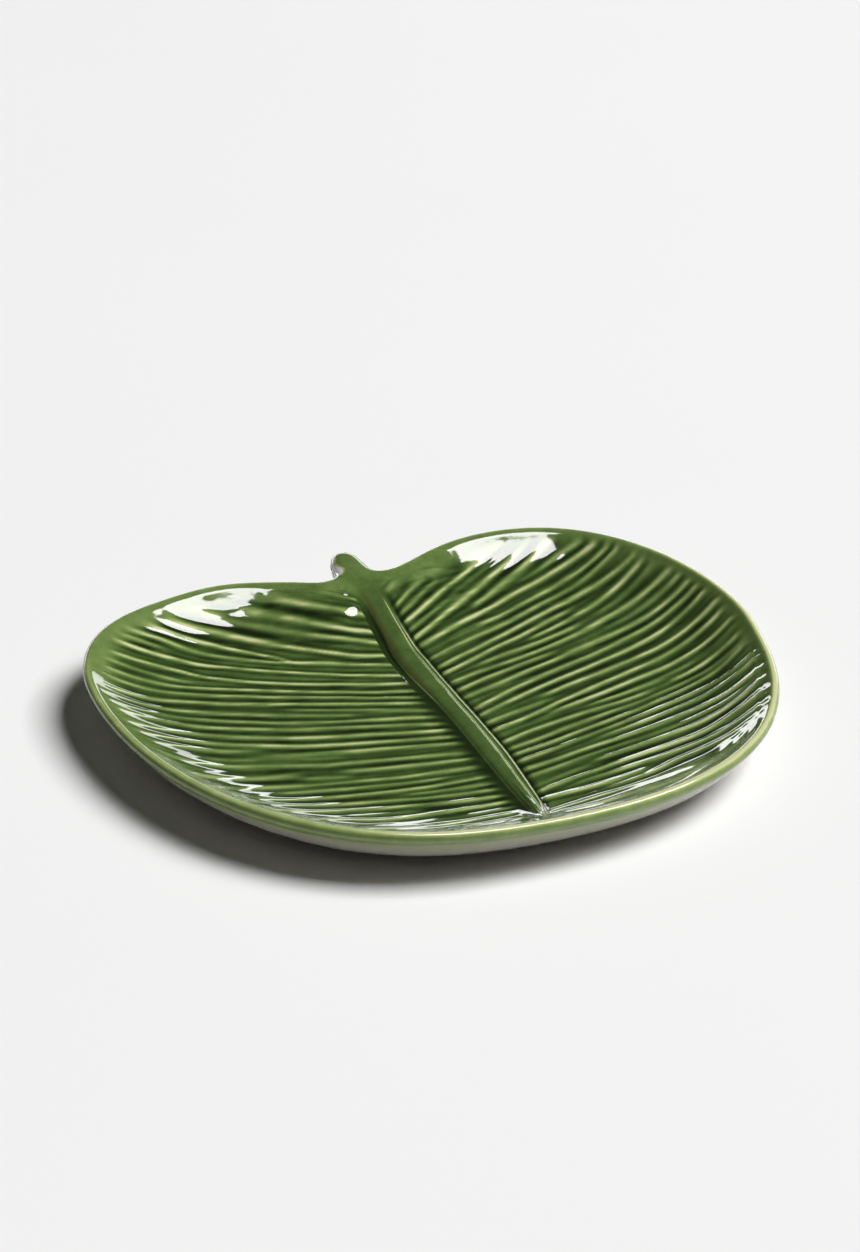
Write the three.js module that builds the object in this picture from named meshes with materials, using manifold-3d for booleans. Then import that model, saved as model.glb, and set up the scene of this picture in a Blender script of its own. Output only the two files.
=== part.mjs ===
// Leaf-shaped serving plate: a white earthenware leaf with a raised midrib, a short stalk between its two lobes,
// a foot ring under the floor, and a coat of green glaze over the whole upper face.
// Millimetres, +Z up. The plate rests on Z = 0; +Y runs along the midrib towards the stalk, X runs across the lobes.
import * as THREE from "three";
import { mergeVertices } from "three/addons/utils/BufferGeometryUtils.js";
import Module from "manifold-3d";

// ---- driving dimensions (mm) ----
// rim outline: radius from the middle of the leaf at every 6 degrees, counter-clockwise from +X
const RIM_RADII = [
  135.3, 137.6, 139.9, 142.2, 144.4, 146.2, 147.4, 147.3, 145.1, 140.2, 133.0, 123.6,
  112.5, 102.8, 99.1, 98.6, 98.9, 104.5, 114.2, 124.6, 132.2, 138.0, 144.1, 148.6,
  150.1, 149.0, 146.4, 142.9, 139.6, 136.8, 134.6, 132.8, 131.4, 130.3, 129.5, 128.8,
  128.1, 127.5, 126.7, 125.7, 124.5, 123.0, 121.6, 120.4, 119.8, 119.8, 120.4, 121.4,
  122.7, 124.1, 125.5, 126.7, 127.6, 128.2, 128.5, 128.9, 129.3, 129.9, 130.9, 132.7,
];
const RIM_POINTS = 84; // points round the rim
const LIP_TOP = 22.2; // top of the clay lip above the table
const LIP_EDGE_Z = 19.9; // height of the lip's outermost line
const LIP_INSET = 2.6; // from the outermost line in to the lip's top
const WELL_DEPTH = 14.0; // from the lip's top down to the clay floor
const WELL_WALL = 43.0; // plan width of the hollow wall
const WELL_POWER = 2.3; // how fast the wall flattens
const NOTCH_WALL = 50.0; // plan width of the gentler wall that runs up to the stalk
const NOTCH_POWER = 1.3;
const NOTCH_FULL = 16.0; // gentle up to this far from the midrib line
const NOTCH_END = 56.0; // plain well wall from here on
const BASE_Z = 3.4; // underside of the floor above the table
const OUTER_WALL = 29.0; // plan width of the outer wall
const OUTER_POWER = 3.0;
const FOOT_OUT = 44.0; // foot ring, inset of its outer side from the rim
const FOOT_WIDTH = 8.0;
const JOINT_GAP = 0.3; // slip joint between pieces
const GLAZE = 0.5; // thickness of the green coat
const RIB_RISE = 0.9; // crown of the midrib above the floor
const RIB_BED = 0.8; // midrib let into the bottom of its channel
const CHANNEL_DEPTH = 1.5; // hollow on both sides of the midrib
const CHANNEL_TOP = 1.9; // its half width at the floor, in half widths of the midrib's crown
const CHANNEL_BOTTOM = 1.38; // and at its bottom
// midrib centre line, [x, y, half width of the crown, share of the full depth and rise], stalk end first
const RIB_LINE = [
  [0.8, 69.6, 4.8, 0.35], [0.6, 61, 4.8, 0.85], [0.1, 52, 4.6, 1], [-0.8, 38, 4.5, 1],
  [-1.4, 24, 4.4, 1], [-2.0, 8, 4.2, 1], [-2.3, -6, 4.1, 1], [-2.6, -20, 4.0, 1],
  [-3.1, -34, 3.9, 1], [-3.9, -47, 3.8, 1], [-5.2, -61, 3.6, 1], [-6.4, -73, 3.4, 0.95],
  [-7.9, -84, 3.2, 0.88], [-9.8, -94, 3.0, 0.75], [-11.9, -103, 2.7, 0.55], [-14.0, -110.5, 2.4, 0.3],
];
// stalk: [x, y, half width, top, bottom], well end first
const STALK_LINE = [
  [0.8, 70.0, 4.7, 13.5, 9.4], [0.8, 75.0, 5.4, 15.5, 10.2], [0.7, 81.0, 6.3, 17.7, 11.4], [0.6, 88.0, 7.4, 20.4, 12.7],
  [0.6, 95.0, 8.4, 22.5, 13.3], [0.6, 100.5, 8.6, 23.0, 13.3], [0.7, 105.0, 7.4, 23.1, 13.4],
  [1.0, 110.0, 6.3, 23.0, 13.6], [1.7, 115.0, 5.3, 22.7, 14.2], [2.4, 119.0, 4.2, 22.0, 15.2], [2.9, 122.0, 2.7, 20.5, 16.8],
];

const CLAY = "#e6e1d8",
  BARE_CLAY = "#d9cfbf",
  GREEN = "#56763a";

const wasm = await Module();
wasm.setup();

// ---- helpers ----
// a closed skin as a solid, with its faces turned outwards
function toSolid(geometry) {
  const g = new THREE.BufferGeometry();
  g.setAttribute("position", geometry.getAttribute("position").clone());
  g.setIndex(geometry.index.clone());
  const m = mergeVertices(g, 1e-4);
  const vertProperties = new Float32Array(m.getAttribute("position").array);
  const triVerts = new Uint32Array(m.index.array);
  const make = () => new wasm.Manifold(new wasm.Mesh({ numProp: 3, vertProperties, triVerts }));
  const solid = make();
  if (solid.volume() > 0) return solid;
  for (let i = 0; i < triVerts.length; i += 3)
    [triVerts[i + 1], triVerts[i + 2]] = [triVerts[i + 2], triVerts[i + 1]];
  return make();
}

function toGeometry(solid) {
  const mesh = solid.getMesh();
  const n = mesh.numProp;
  const pos = new Float32Array((mesh.vertProperties.length / n) * 3);
  for (let i = 0; i < pos.length / 3; i++)
    for (let k = 0; k < 3; k++) pos[3 * i + k] = mesh.vertProperties[n * i + k];
  const g = new THREE.BufferGeometry();
  g.setAttribute("position", new THREE.BufferAttribute(pos, 3));
  g.setIndex(new THREE.BufferAttribute(new Uint32Array(mesh.triVerts), 1));
  const flat = g.toNonIndexed();
  flat.computeVertexNormals();
  return flat;
}

// Closed rows of points joined into a skin. Each row holds the same number of points.
function loft(rows, closedAlong, caps) {
  const n = rows[0].length,
    pos = [],
    tri = [];
  for (const row of rows) for (const p of row) pos.push(p[0], p[1], p[2]);
  const last = closedAlong ? rows.length : rows.length - 1;
  for (let i = 0; i < last; i++)
    for (let j = 0; j < n; j++) {
      const a = i * n + j,
        b = i * n + ((j + 1) % n),
        c = ((i + 1) % rows.length) * n + ((j + 1) % n),
        d = ((i + 1) % rows.length) * n + j;
      tri.push(a, b, c, a, c, d);
    }
  if (caps) {
    for (const [i, flip] of [[0, true], [rows.length - 1, false]]) {
      const mid = [0, 0, 0];
      for (const p of rows[i]) for (let k = 0; k < 3; k++) mid[k] += p[k] / n;
      const m = pos.length / 3;
      pos.push(...mid);
      for (let j = 0; j < n; j++) {
        const a = i * n + j,
          b = i * n + ((j + 1) % n);
        tri.push(...(flip ? [b, a, m] : [a, b, m]));
      }
    }
  }
  const g = new THREE.BufferGeometry();
  g.setAttribute("position", new THREE.Float32BufferAttribute(pos, 3));
  g.setIndex(tri);
  return g;
}

// ---- rim outline ----
const rimCurve = new THREE.CatmullRomCurve3(
  RIM_RADII.map((r, i) => {
    const a = (i * 2 * Math.PI) / RIM_RADII.length;
    return new THREE.Vector3(r * Math.cos(a), r * Math.sin(a), 0);
  }),
  true,
  "centripetal",
);
const rim = rimCurve.getSpacedPoints(RIM_POINTS).slice(0, RIM_POINTS);

// rim radius in the direction of a plan point
function rimRadius(x, y) {
  const t = (Math.atan2(y, x) / (2 * Math.PI) + 1) % 1;
  const u = t * RIM_RADII.length,
    i = Math.floor(u) % RIM_RADII.length,
    f = u - Math.floor(u);
  return RIM_RADII[i] * (1 - f) + RIM_RADII[(i + 1) % RIM_RADII.length] * f;
}

// share of the gentler wall at a plan point
function notchShare(x, y) {
  const across = THREE.MathUtils.smoothstep(Math.abs(x), NOTCH_FULL, NOTCH_END);
  return (1 - across) * THREE.MathUtils.smoothstep(y, 38, 60);
}

// clay upper face at an inset from the rim, near a plan point
function wellZ(inset, x, y) {
  const run = inset - LIP_INSET,
    plain = Math.pow(1 - THREE.MathUtils.clamp(run / WELL_WALL, 0, 1), WELL_POWER),
    gentle = Math.pow(1 - THREE.MathUtils.clamp(run / NOTCH_WALL, 0, 1), NOTCH_POWER);
  return LIP_TOP - WELL_DEPTH * (1 - THREE.MathUtils.lerp(plain, gentle, notchShare(x, y)));
}

function outerZ(inset) {
  const u = THREE.MathUtils.clamp(inset / OUTER_WALL, 0, 1);
  return LIP_EDGE_Z - (LIP_EDGE_Z - BASE_Z) * (1 - Math.pow(1 - u, OUTER_POWER));
}

// height of the clay floor or wall at a plan point
const floorAt = (x, y) => wellZ(rimRadius(x, y) - Math.hypot(x, y), x, y);

// a ring of points at an inset from the rim, at one height or at the height of the upper face
function ringAt(inset, z) {
  return rim.map((p) => {
    const s = 1 - inset / Math.hypot(p.x, p.y),
      x = p.x * s,
      y = p.y * s;
    return [x, y, z === undefined ? wellZ(inset, x, y) : z];
  });
}

// ---- leaf body: hollow upper face, rounded lip, outer wall, flat base ----
function leafBody() {
  const rows = [];
  for (const d of [82, 56, OUTER_WALL, 18, 10, 5, 2, 0.5]) rows.push(ringAt(d, outerZ(d)));
  rows.push(ringAt(0, LIP_EDGE_Z));
  rows.push(ringAt(0.7, LIP_EDGE_Z + 0.65 * (LIP_TOP - LIP_EDGE_Z)));
  for (const d of [LIP_INSET, 7, 13, 21, 31, 38, LIP_INSET + WELL_WALL, LIP_INSET + NOTCH_WALL, 74]) rows.push(ringAt(d));
  return loft(rows, false, true);
}

// ---- midrib: a low roll with a rounded crown, bedded in a channel along the floor ----
function ribRow([x, y, w, share], grow) {
  const z = floorAt(x, y),
    deep = z - CHANNEL_DEPTH * share,
    top = z + RIB_RISE * share + grow,
    b = w + grow;
  return [
    [x - 1.28 * b, y, deep - RIB_BED - grow],
    [x - 1.28 * b, y, deep + 0.1],
    [x - b, y, z - 0.35 * share + grow],
    [x - 0.72 * b, y, z + 0.6 * (top - z)],
    [x - 0.3 * b, y, top],
    [x + 0.3 * b, y, top],
    [x + 0.72 * b, y, z + 0.6 * (top - z)],
    [x + b, y, z - 0.35 * share + grow],
    [x + 1.28 * b, y, deep + 0.1],
    [x + 1.28 * b, y, deep - RIB_BED - grow],
  ];
}

function midrib(grow, reach) {
  const line = RIB_LINE.map((p) => [...p]);
  line[0][1] += reach;
  line[line.length - 1][1] -= grow;
  return loft(line.map((p) => ribRow(p, grow)), false, true);
}

// the hollow that the midrib lies in
function channel() {
  return loft(
    RIB_LINE.map(([x, y, w, share]) => {
      const z = floorAt(x, y),
        t = CHANNEL_TOP * w,
        b = CHANNEL_BOTTOM * w,
        deep = z - CHANNEL_DEPTH * share;
      return [
        [x - t, y, z + 3], [x - t, y, z + 0.05], [x - b, y, deep],
        [x + b, y, deep], [x + t, y, z + 0.05], [x + t, y, z + 3],
      ];
    }),
    false,
    true,
  );
}

// ---- stalk: a tapering round-cornered tongue that rises out of the well and stands past the notch ----
function stalk(grow) {
  const rows = STALK_LINE.map(([x, y, w, top, bottom], i) => {
    const end = i === 0 ? -grow : i === STALK_LINE.length - 1 ? grow : 0,
      mid = (top + bottom) / 2,
      h = (top - bottom) / 2 + grow,
      b = w + grow,
      row = [];
    for (let k = 0; k < 14; k++) {
      const a = (2 * Math.PI * (k + 0.5)) / 14,
        c = Math.cos(a),
        s = Math.sin(a);
      row.push([
        x - b * Math.sign(c) * Math.pow(Math.abs(c), 0.75),
        y + end,
        mid + h * Math.sign(s) * Math.pow(Math.abs(s), 0.75),
      ]);
    }
    return row;
  });
  return loft(rows, false, true);
}

// ---- foot ring: a low ring with eased edges that follows the leaf outline ----
function footRing() {
  const top = BASE_Z - JOINT_GAP,
    o = FOOT_OUT,
    w = FOOT_WIDTH;
  return loft(
    [
      ringAt(o + 1.0, 0),
      ringAt(o + 0.3, 0.7),
      ringAt(o, top),
      ringAt(o + w, top),
      ringAt(o + w - 0.3, 0.7),
      ringAt(o + w - 1.0, 0),
    ],
    true,
    false,
  );
}

const bodySolid = toSolid(leafBody()).subtract(toSolid(channel()));
const ribSolid = toSolid(midrib(0, 0));
const ribWide = toSolid(midrib(JOINT_GAP, JOINT_GAP));
const ribLong = toSolid(midrib(0, 2.5));
const stalkSolid = toSolid(stalk(0));
const stalkWide = toSolid(stalk(JOINT_GAP));
const footSolid = toSolid(footRing());

// the clay leaf with its channel and beds for the midrib and the stalk
const leafSolid = bodySolid.subtract(ribWide).subtract(stalkWide);

// the green coat: a skin over every upward face of leaf, midrib and stalk
const clay = bodySolid.add(ribLong).add(stalkSolid);
const glazeSolid = clay
  .translate([0, 0, JOINT_GAP + GLAZE])
  .subtract(clay.translate([0, 0, JOINT_GAP]))
  .subtract(clay.translate([0, 0, JOINT_GAP / 2]))
  .subtract(clay);

function largest(solid) {
  const bodies = solid.decompose();
  return bodies.reduce((a, b) => (b.volume() > a.volume() ? b : a));
}

function piece(name, solid, color, roughness) {
  const mesh = new THREE.Mesh(
    toGeometry(solid),
    new THREE.MeshStandardMaterial({ color, roughness, metalness: 0 }),
  );
  mesh.name = name;
  return mesh;
}

const plate = new THREE.Group();
plate.add(piece("leaf_body", largest(leafSolid), CLAY, 0.25));
plate.add(piece("midrib", ribSolid, CLAY, 0.4));
plate.add(piece("stalk", stalkSolid, CLAY, 0.3));
plate.add(piece("foot_ring", footSolid, BARE_CLAY, 0.85));
plate.add(piece("green_glaze", largest(glazeSolid), GREEN, 0.1));

// the plate's box is centred on the origin and stands on Z = 0
const box = new THREE.Box3().setFromObject(plate);
plate.position.set(-(box.min.x + box.max.x) / 2, -(box.min.y + box.max.y) / 2, -box.min.z);

const object = new THREE.Group();
object.add(plate);
export default object;
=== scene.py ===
import math

import bmesh
import bpy
import numpy as np
from mathutils import Matrix, Vector, kdtree


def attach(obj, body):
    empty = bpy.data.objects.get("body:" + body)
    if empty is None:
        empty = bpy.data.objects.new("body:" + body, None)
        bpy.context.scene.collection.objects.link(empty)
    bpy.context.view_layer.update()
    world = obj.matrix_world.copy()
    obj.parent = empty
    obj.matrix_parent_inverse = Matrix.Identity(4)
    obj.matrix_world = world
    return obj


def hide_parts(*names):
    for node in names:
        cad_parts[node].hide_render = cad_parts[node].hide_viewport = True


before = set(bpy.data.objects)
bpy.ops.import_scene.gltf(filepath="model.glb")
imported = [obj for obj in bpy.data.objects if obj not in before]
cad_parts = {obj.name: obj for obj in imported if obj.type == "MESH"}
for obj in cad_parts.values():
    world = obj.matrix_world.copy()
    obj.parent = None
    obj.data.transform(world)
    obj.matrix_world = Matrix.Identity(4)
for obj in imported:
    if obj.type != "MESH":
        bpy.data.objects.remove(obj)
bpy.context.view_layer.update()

# Leaf-shaped serving plate. Lengths below are millimetres in the leaf frame:
# +Y runs along the midrib towards the stalk, X across the lobes, Z up from the table.
MM = 0.001
H = 23.0  # top of the glazed lip
LIP_R = 2.2  # round of the lip
LIP_BACK = 6.0  # wider inner round of the lip along the back of the lobes
LIP_TILT = math.radians(36.8)  # slope of the inner wall where it leaves the lip
LIP_DOWN = math.radians(29.0)  # how far the round runs on below its outermost line
WELL_Z, WELL_POWER = 8.96, 2.3  # floor of the well, easing of its wall
NOTCH_WALL, NOTCH_POWER, NOTCH_FULL, NOTCH_END = 50.0, 1.15, 16.0, 56.0  # long slope by the stalk
OUTER_WALL, OUTER_POWER, BASE_Z = 29.0, 3.0, 3.4
GLAZE_T, INNER_T = 0.45, 1.0
FOOT_OUT, FOOT_WIDTH = 44.0, 8.0

# rim radius from the middle of the leaf every 6 degrees, counter-clockwise from +X
RIM_RADII = np.array([
    135.3, 137.6, 139.9, 142.2, 144.4, 146.2, 147.4, 147.3, 145.1, 140.2, 133.0, 123.6,
    112.5, 102.8, 99.1, 98.6, 98.9, 104.5, 114.2, 124.6, 132.2, 138.0, 144.1, 148.6,
    150.1, 149.0, 146.4, 142.9, 139.6, 136.8, 134.6, 132.8, 131.4, 130.3, 129.5, 128.8,
    128.1, 127.5, 126.7, 125.7, 124.5, 123.0, 121.6, 120.4, 119.8, 119.8, 120.4, 121.4,
    122.7, 124.1, 125.5, 126.7, 127.6, 128.2, 128.5, 128.9, 129.3, 129.9, 130.9, 132.7,
])
# stalk outline between the two lobes, right foot to left foot
STALK_EDGE = [
    (15.6, 99.0), (12.2, 99.6), (10.4, 101.2), (9.6, 104.4), (9.3, 108.8), (9.2, 113.0), (8.9, 117.0), (7.8, 120.2),
    (5.8, 122.3), (3.2, 123.0), (0.8, 122.6), (-1.2, 121.0), (-2.9, 118.2), (-4.1, 115.0), (-5.1, 111.2),
    (-6.1, 107.2), (-7.2, 103.8), (-9.0, 101.2), (-12.4, 99.6), (-16.6, 99.8),
]
# midrib centre line, stalk tip first
CENTRE = np.array([
    (3.2, 120.4), (2.2, 115.0), (1.3, 109.0), (0.9, 103.0), (1.0, 96.0), (1.5, 89.0), (1.75, 82.0), (1.4, 72.0),
    (0.9, 61.0), (0.2, 48.0), (-0.7, 33.0), (-1.05, 18.0), (-1.4, 2.0), (-2.0, -14.0), (-2.8, -28.0),
    (-3.85, -43.0), (-4.95, -57.0), (-5.9, -70.0), (-6.8, -82.0), (-9.3, -95.5), (-12.4, -106.0), (-15.4, -114.5),
])
LEAF_TIP_ANGLE = 262.3  # where the midrib meets the rim, degrees from +X

# veins that set the lie of each half: (height on the midrib line at |x| = 10, slope)
RIGHT_VEINS = [
    (82, 0.50), (72, 0.50), (62, 0.42), (52, 0.365), (40, 0.35), (30, 0.33), (20, 0.29), (8, 0.25),
    (-5, 0.22), (-20, 0.20), (-35, 0.18), (-50, 0.176), (-62, 0.17), (-73, 0.156), (-85, 0.12), (-94, 0.04),
]
LEFT_VEINS = [
    (70, 0.62), (60, 0.50), (50, 0.47), (42, 0.45), (25, 0.435), (10, 0.417), (-5, 0.355), (-20, 0.278),
    (-35, 0.21), (-50, 0.13), (-65, 0.09), (-80, 0.0),
]

# carved ridges: start and end on the way from midrib to rim, strength, heights on the midrib line at even steps
RIGHT_RIDGES = [
    (0.00, 0.64, 0.55, [81.4, 81.4, 81.4, 81.4, 81.4, 81.4, 81.6, 81.6]),
    (0.00, 0.57, 0.80, [72.6, 74.9, 76.8, 78.3, 79.1, 79.5, 79.3]),
    (0.00, 0.41, 0.55, [67.3, 68.5, 71.0, 73.9, 77.2]),
    (0.00, 1.00, 1.20, [62.4, 63.1, 64.9, 67.2, 69.8, 72.3, 74.4, 76.0, 77.0, 77.3, 77.0]),
    (0.00, 1.00, 1.20, [52.8, 54.1, 56.3, 58.9, 61.2, 63.1, 64.5, 65.4, 66.0, 66.8, 67.3]),
    (0.00, 0.39, 0.55, [57.8, 58.7, 60.0, 61.7, 63.6]),
    (0.37, 1.00, 1.00, [56.0, 58.1, 59.9, 61.0, 61.4, 61.9, 62.6]),
    (0.66, 1.00, 0.80, [58.0, 57.3, 56.8, 55.0]),
    (0.00, 1.00, 1.20, [47.8, 47.8, 48.6, 50.0, 51.4, 52.7, 53.6, 53.9, 53.5, 52.1, 50.0]),
    (0.29, 1.00, 1.00, [44.1, 44.1, 45.0, 46.0, 46.7, 46.6, 45.7, 44.6]),
    (0.00, 1.00, 0.80, [36.5, 37.8, 38.1, 38.1, 39.1, 40.5, 41.2, 41.0, 39.6]),
    (0.00, 1.00, 1.00, [28.3, 30.5, 31.7, 32.8, 34.2, 35.1, 35.5, 34.0, 31.0]),
    (0.00, 0.66, 1.00, [22.5, 25.0, 27.4, 28.3, 29.6, 30.3]),
    (0.39, 1.00, 1.00, [24.0, 24.8, 26.0, 27.0, 27.3, 27.0]),
    (0.71, 1.00, 0.55, [21.9, 22.7, 22.5]),
    (0.14, 0.61, 1.00, [20.0, 20.7, 20.1, 20.1, 20.2]),
    (0.00, 1.00, 1.00, [14.5, 15.6, 15.1, 14.9, 15.6, 16.7, 17.8, 17.3, 15.6]),
    (0.66, 1.00, 0.55, [11.9, 12.5, 12.1, 11.4]),
    (0.00, 0.43, 1.00, [7.8, 10.1, 10.7, 10.9]),
    (0.00, 1.00, 1.00, [1.4, 3.0, 4.7, 5.8, 7.1, 7.4, 8.0, 7.1, 5.8]),
    (0.00, 1.00, 1.00, [-8.9, -4.9, -2.0, -0.5, 0.2, 1.3, 2.3, 2.3, 1.6]),
    (0.00, 1.00, 1.20, [-14.4, -11.2, -8.4, -6.8, -6.0, -5.3, -4.1, -3.4, -3.5]),
    (0.24, 1.00, 1.20, [-14.5, -13.2, -12.6, -12.1, -11.5, -11.3, -12.0]),
    (0.00, 0.26, 1.00, [-21.2, -19.4, -18.8]),
    (0.00, 1.00, 1.20, [-27.8, -25.9, -23.2, -21.1, -19.7, -18.7, -18.1, -17.9, -18.0]),
    (0.22, 1.00, 1.20, [-27.4, -26.8, -26.1, -25.3, -25.2, -25.8, -26.1]),
    (0.36, 0.83, 0.80, [-31.0, -31.5, -31.6, -30.9, -31.2]),
    (0.00, 0.62, 1.00, [-37.9, -35.5, -34.9, -35.1, -36.3, -36.6]),
    (0.69, 1.00, 1.00, [-34.4, -36.2, -36.6]),
    (0.00, 1.00, 0.80, [-43.7, -42.6, -41.0, -40.4, -40.4, -40.2, -40.5, -42.3, -42.7]),
    (0.00, 1.00, 1.00, [-48.2, -47.9, -46.7, -45.9, -45.3, -44.4, -44.4, -45.6, -45.1]),
    (0.00, 1.00, 1.00, [-53.5, -53.1, -51.7, -50.9, -50.4, -50.0, -50.6, -53.0, -54.6]),
    (0.31, 1.00, 1.00, [-54.8, -55.2, -55.5, -55.1, -56.4, -56.9, -58.2]),
    (0.00, 1.00, 1.00, [-60.1, -60.5, -60.2, -60.8, -61.3, -61.5, -62.6, -64.7, -65.9]),
    (0.00, 1.00, 0.55, [-65.4, -65.7, -65.3, -66.1, -67.1, -67.3, -67.7, -69.1, -69.2]),
    (0.26, 1.00, 1.20, [-69.9, -70.5, -70.9, -71.5, -72.7, -73.3, -72.6]),
    (0.00, 0.24, 0.55, [-72.7, -72.4, -72.1]),
    (0.00, 1.00, 1.20, [-76.6, -76.3, -76.8, -76.8, -77.3, -78.2, -79.7, -79.3, -79.2]),
    (0.81, 1.00, 0.80, [-81.6, -81.8, -81.8]),
    (0.13, 1.00, 1.00, [-79.6, -80.4, -81.5, -82.5, -83.5, -84.8, -85.8, -86.3]),
    (0.00, 0.49, 1.20, [-82.6, -84.3, -85.9, -86.6, -86.5]),
    (0.26, 1.00, 1.00, [-89.0, -89.8, -89.7, -88.4, -89.2, -89.9, -89.6]),
    (0.81, 1.00, 0.80, [-92.4, -92.8, -92.3]),
    (0.00, 1.00, 0.80, [-94.4, -93.7, -93.7, -94.1, -94.6, -95.0, -95.4, -95.8, -96.1]),
    (0.05, 1.00, 1.00, [-97.7, -98.2, -98.2, -97.6, -97.5, -98.2, -98.2, -98.2, -98.2]),
]
LEFT_RIDGES = [
    (0.61, 0.68, 0.55, [76.7, 76.5, 76.2, 76.5]),
    (0.00, 0.51, 0.80, [78.1, 77.9, 77.0]),
    (0.00, 0.90, 1.00, [70.1, 70.2, 70.3, 70.4, 71.0, 71.4, 71.9, 72.2]),
    (0.00, 0.80, 1.20, [60.4, 61.3, 62.6, 63.9, 65.0, 65.8, 66.3, 66.6, 66.9]),
    (0.00, 1.00, 1.00, [54.3, 55.9, 57.9, 59.8, 61.4, 62.6, 63.2, 63.5, 63.7, 64.0, 64.9]),
    (0.00, 1.00, 1.20, [45.8, 46.3, 48.8, 52.0, 54.9, 56.9, 58.0, 58.2, 58.0, 58.5, 60.7]),
    (0.35, 1.00, 1.20, [43.0, 47.5, 50.2, 51.5, 52.4, 53.8, 56.7]),
    (0.81, 1.00, 0.80, [41.8, 43.9, 45.8]),
    (0.00, 1.00, 1.00, [37.9, 40.3, 42.1, 42.4, 43.0, 44.0, 45.2, 47.7, 50.1]),
    (0.00, 1.00, 1.20, [27.6, 30.1, 32.4, 33.7, 34.2, 35.4, 36.3, 38.0, 40.5]),
    (0.00, 1.00, 1.20, [20.2, 21.5, 22.9, 22.7, 22.4, 23.9, 28.4, 29.9, 30.7]),
    (0.71, 1.00, 1.00, [19.9, 22.6, 23.7]),
    (0.00, 1.00, 1.00, [13.3, 14.3, 15.7, 15.5, 14.8, 14.1, 15.3, 16.2, 16.6]),
    (0.00, 1.00, 0.80, [7.4, 9.4, 10.9, 10.5, 8.8, 8.0, 9.1, 9.8, 10.2]),
    (0.00, 1.00, 1.00, [2.3, 4.1, 4.9, 4.4, 2.9, 1.8, 2.9, 2.1, 2.1]),
    (0.00, 0.46, 0.55, [-4.2, -1.3, 0.2, -0.1, -1.1]),
    (0.23, 1.00, 0.80, [-3.6, -4.1, -5.0, -5.3, -3.9, -2.9, -2.1]),
    (0.00, 1.00, 0.80, [-9.8, -8.1, -7.9, -9.0, -10.2, -9.9, -8.2, -7.0, -7.0]),
    (0.00, 1.00, 0.80, [-15.5, -13.2, -12.4, -13.0, -14.2, -14.3, -12.8, -10.6, -10.6]),
    (0.00, 1.00, 1.00, [-21.0, -19.1, -18.2, -19.1, -20.0, -19.6, -17.9, -17.1, -17.2]),
    (0.00, 1.00, 1.00, [-26.1, -24.5, -23.6, -24.2, -25.3, -24.5, -23.0, -21.4, -21.9]),
    (0.60, 1.00, 0.80, [-28.0, -27.5, -26.1, -26.1]),
    (0.00, 0.69, 0.80, [-31.7, -29.5, -28.2, -28.9, -30.0, -31.1, -31.1]),
    (0.38, 0.83, 0.55, [-32.4, -33.5, -34.0, -33.6, -32.6]),
    (0.00, 1.00, 0.80, [-39.6, -37.4, -36.3, -36.9, -37.8, -37.4, -37.1, -36.0, -34.4]),
    (0.00, 0.46, 0.80, [-44.0, -42.6, -41.6, -41.8, -42.4]),
    (0.58, 1.00, 0.80, [-43.3, -43.9, -44.5, -46.2]),
    (0.43, 0.62, 0.80, [-45.5, -45.8, -46.0]),
    (0.00, 1.00, 0.80, [-50.7, -49.4, -48.8, -49.0, -49.2, -49.6, -49.4, -51.4, -54.6]),
    (0.13, 0.75, 0.80, [-53.6, -53.3, -53.1, -53.2, -53.0, -53.0]),
    (0.00, 0.88, 0.80, [-58.2, -58.1, -58.3, -58.3, -58.3, -58.1, -58.4, -58.6]),
    (0.00, 0.36, 0.80, [-63.8, -63.0, -62.4, -61.9]),
    (0.00, 1.00, 0.80, [-68.5, -67.4, -66.3, -65.2, -64.2, -63.7, -63.3, -62.8, -63.5]),
    (0.00, 1.00, 1.00, [-73.1, -72.5, -71.1, -69.7, -68.7, -68.1, -68.1, -68.5, -70.4]),
    (0.36, 0.67, 0.55, [-73.3, -72.7, -71.9]),
    (0.00, 1.00, 1.00, [-78.1, -78.1, -77.3, -76.7, -76.6, -75.9, -74.9, -75.6, -77.5]),
    (0.00, 0.26, 0.55, [-82.6, -82.4, -82.1]),
    (0.00, 1.00, 1.00, [-87.5, -86.8, -86.4, -86.2, -85.4, -84.3, -83.8, -85.1, -86.8]),
    (0.00, 0.43, 0.80, [-93.3, -92.9, -91.7, -89.9]),
]


# ---- small numeric helpers ----
def smooth(a, b, x):
    t = np.clip((np.asarray(x, float) - a) / (b - a), 0.0, 1.0)
    return t * t * (3 - 2 * t)


def mix(a, b, t):
    return a + (b - a) * t


def pchip(xk, yk, x):
    """Monotone cubic through the knots, flat-ended outside them."""
    xk, yk, x = (np.asarray(v, float) for v in (xk, yk, x))
    h = np.diff(xk)
    d = np.diff(yk) / h
    m = np.zeros(len(xk))
    if len(xk) > 2:
        same = d[1:] * d[:-1] > 0
        w1, w2 = 2 * h[1:] + h[:-1], h[1:] + 2 * h[:-1]
        a, b = np.where(same, d[:-1], 1.0), np.where(same, d[1:], 1.0)
        m[1:-1] = np.where(same, (w1 + w2) / (w1 / a + w2 / b), 0.0)
    m[0], m[-1] = d[0], d[-1]
    i = np.clip(np.searchsorted(xk, x, side="right") - 1, 0, len(xk) - 2)
    t = np.clip((x - xk[i]) / h[i], 0.0, 1.0)
    t2, t3 = t * t, t * t * t
    return (
        (2 * t3 - 3 * t2 + 1) * yk[i] + (t3 - 2 * t2 + t) * h[i] * m[i]
        + (3 * t2 - 2 * t3) * yk[i + 1] + (t3 - t2) * h[i] * m[i + 1]
    )


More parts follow.
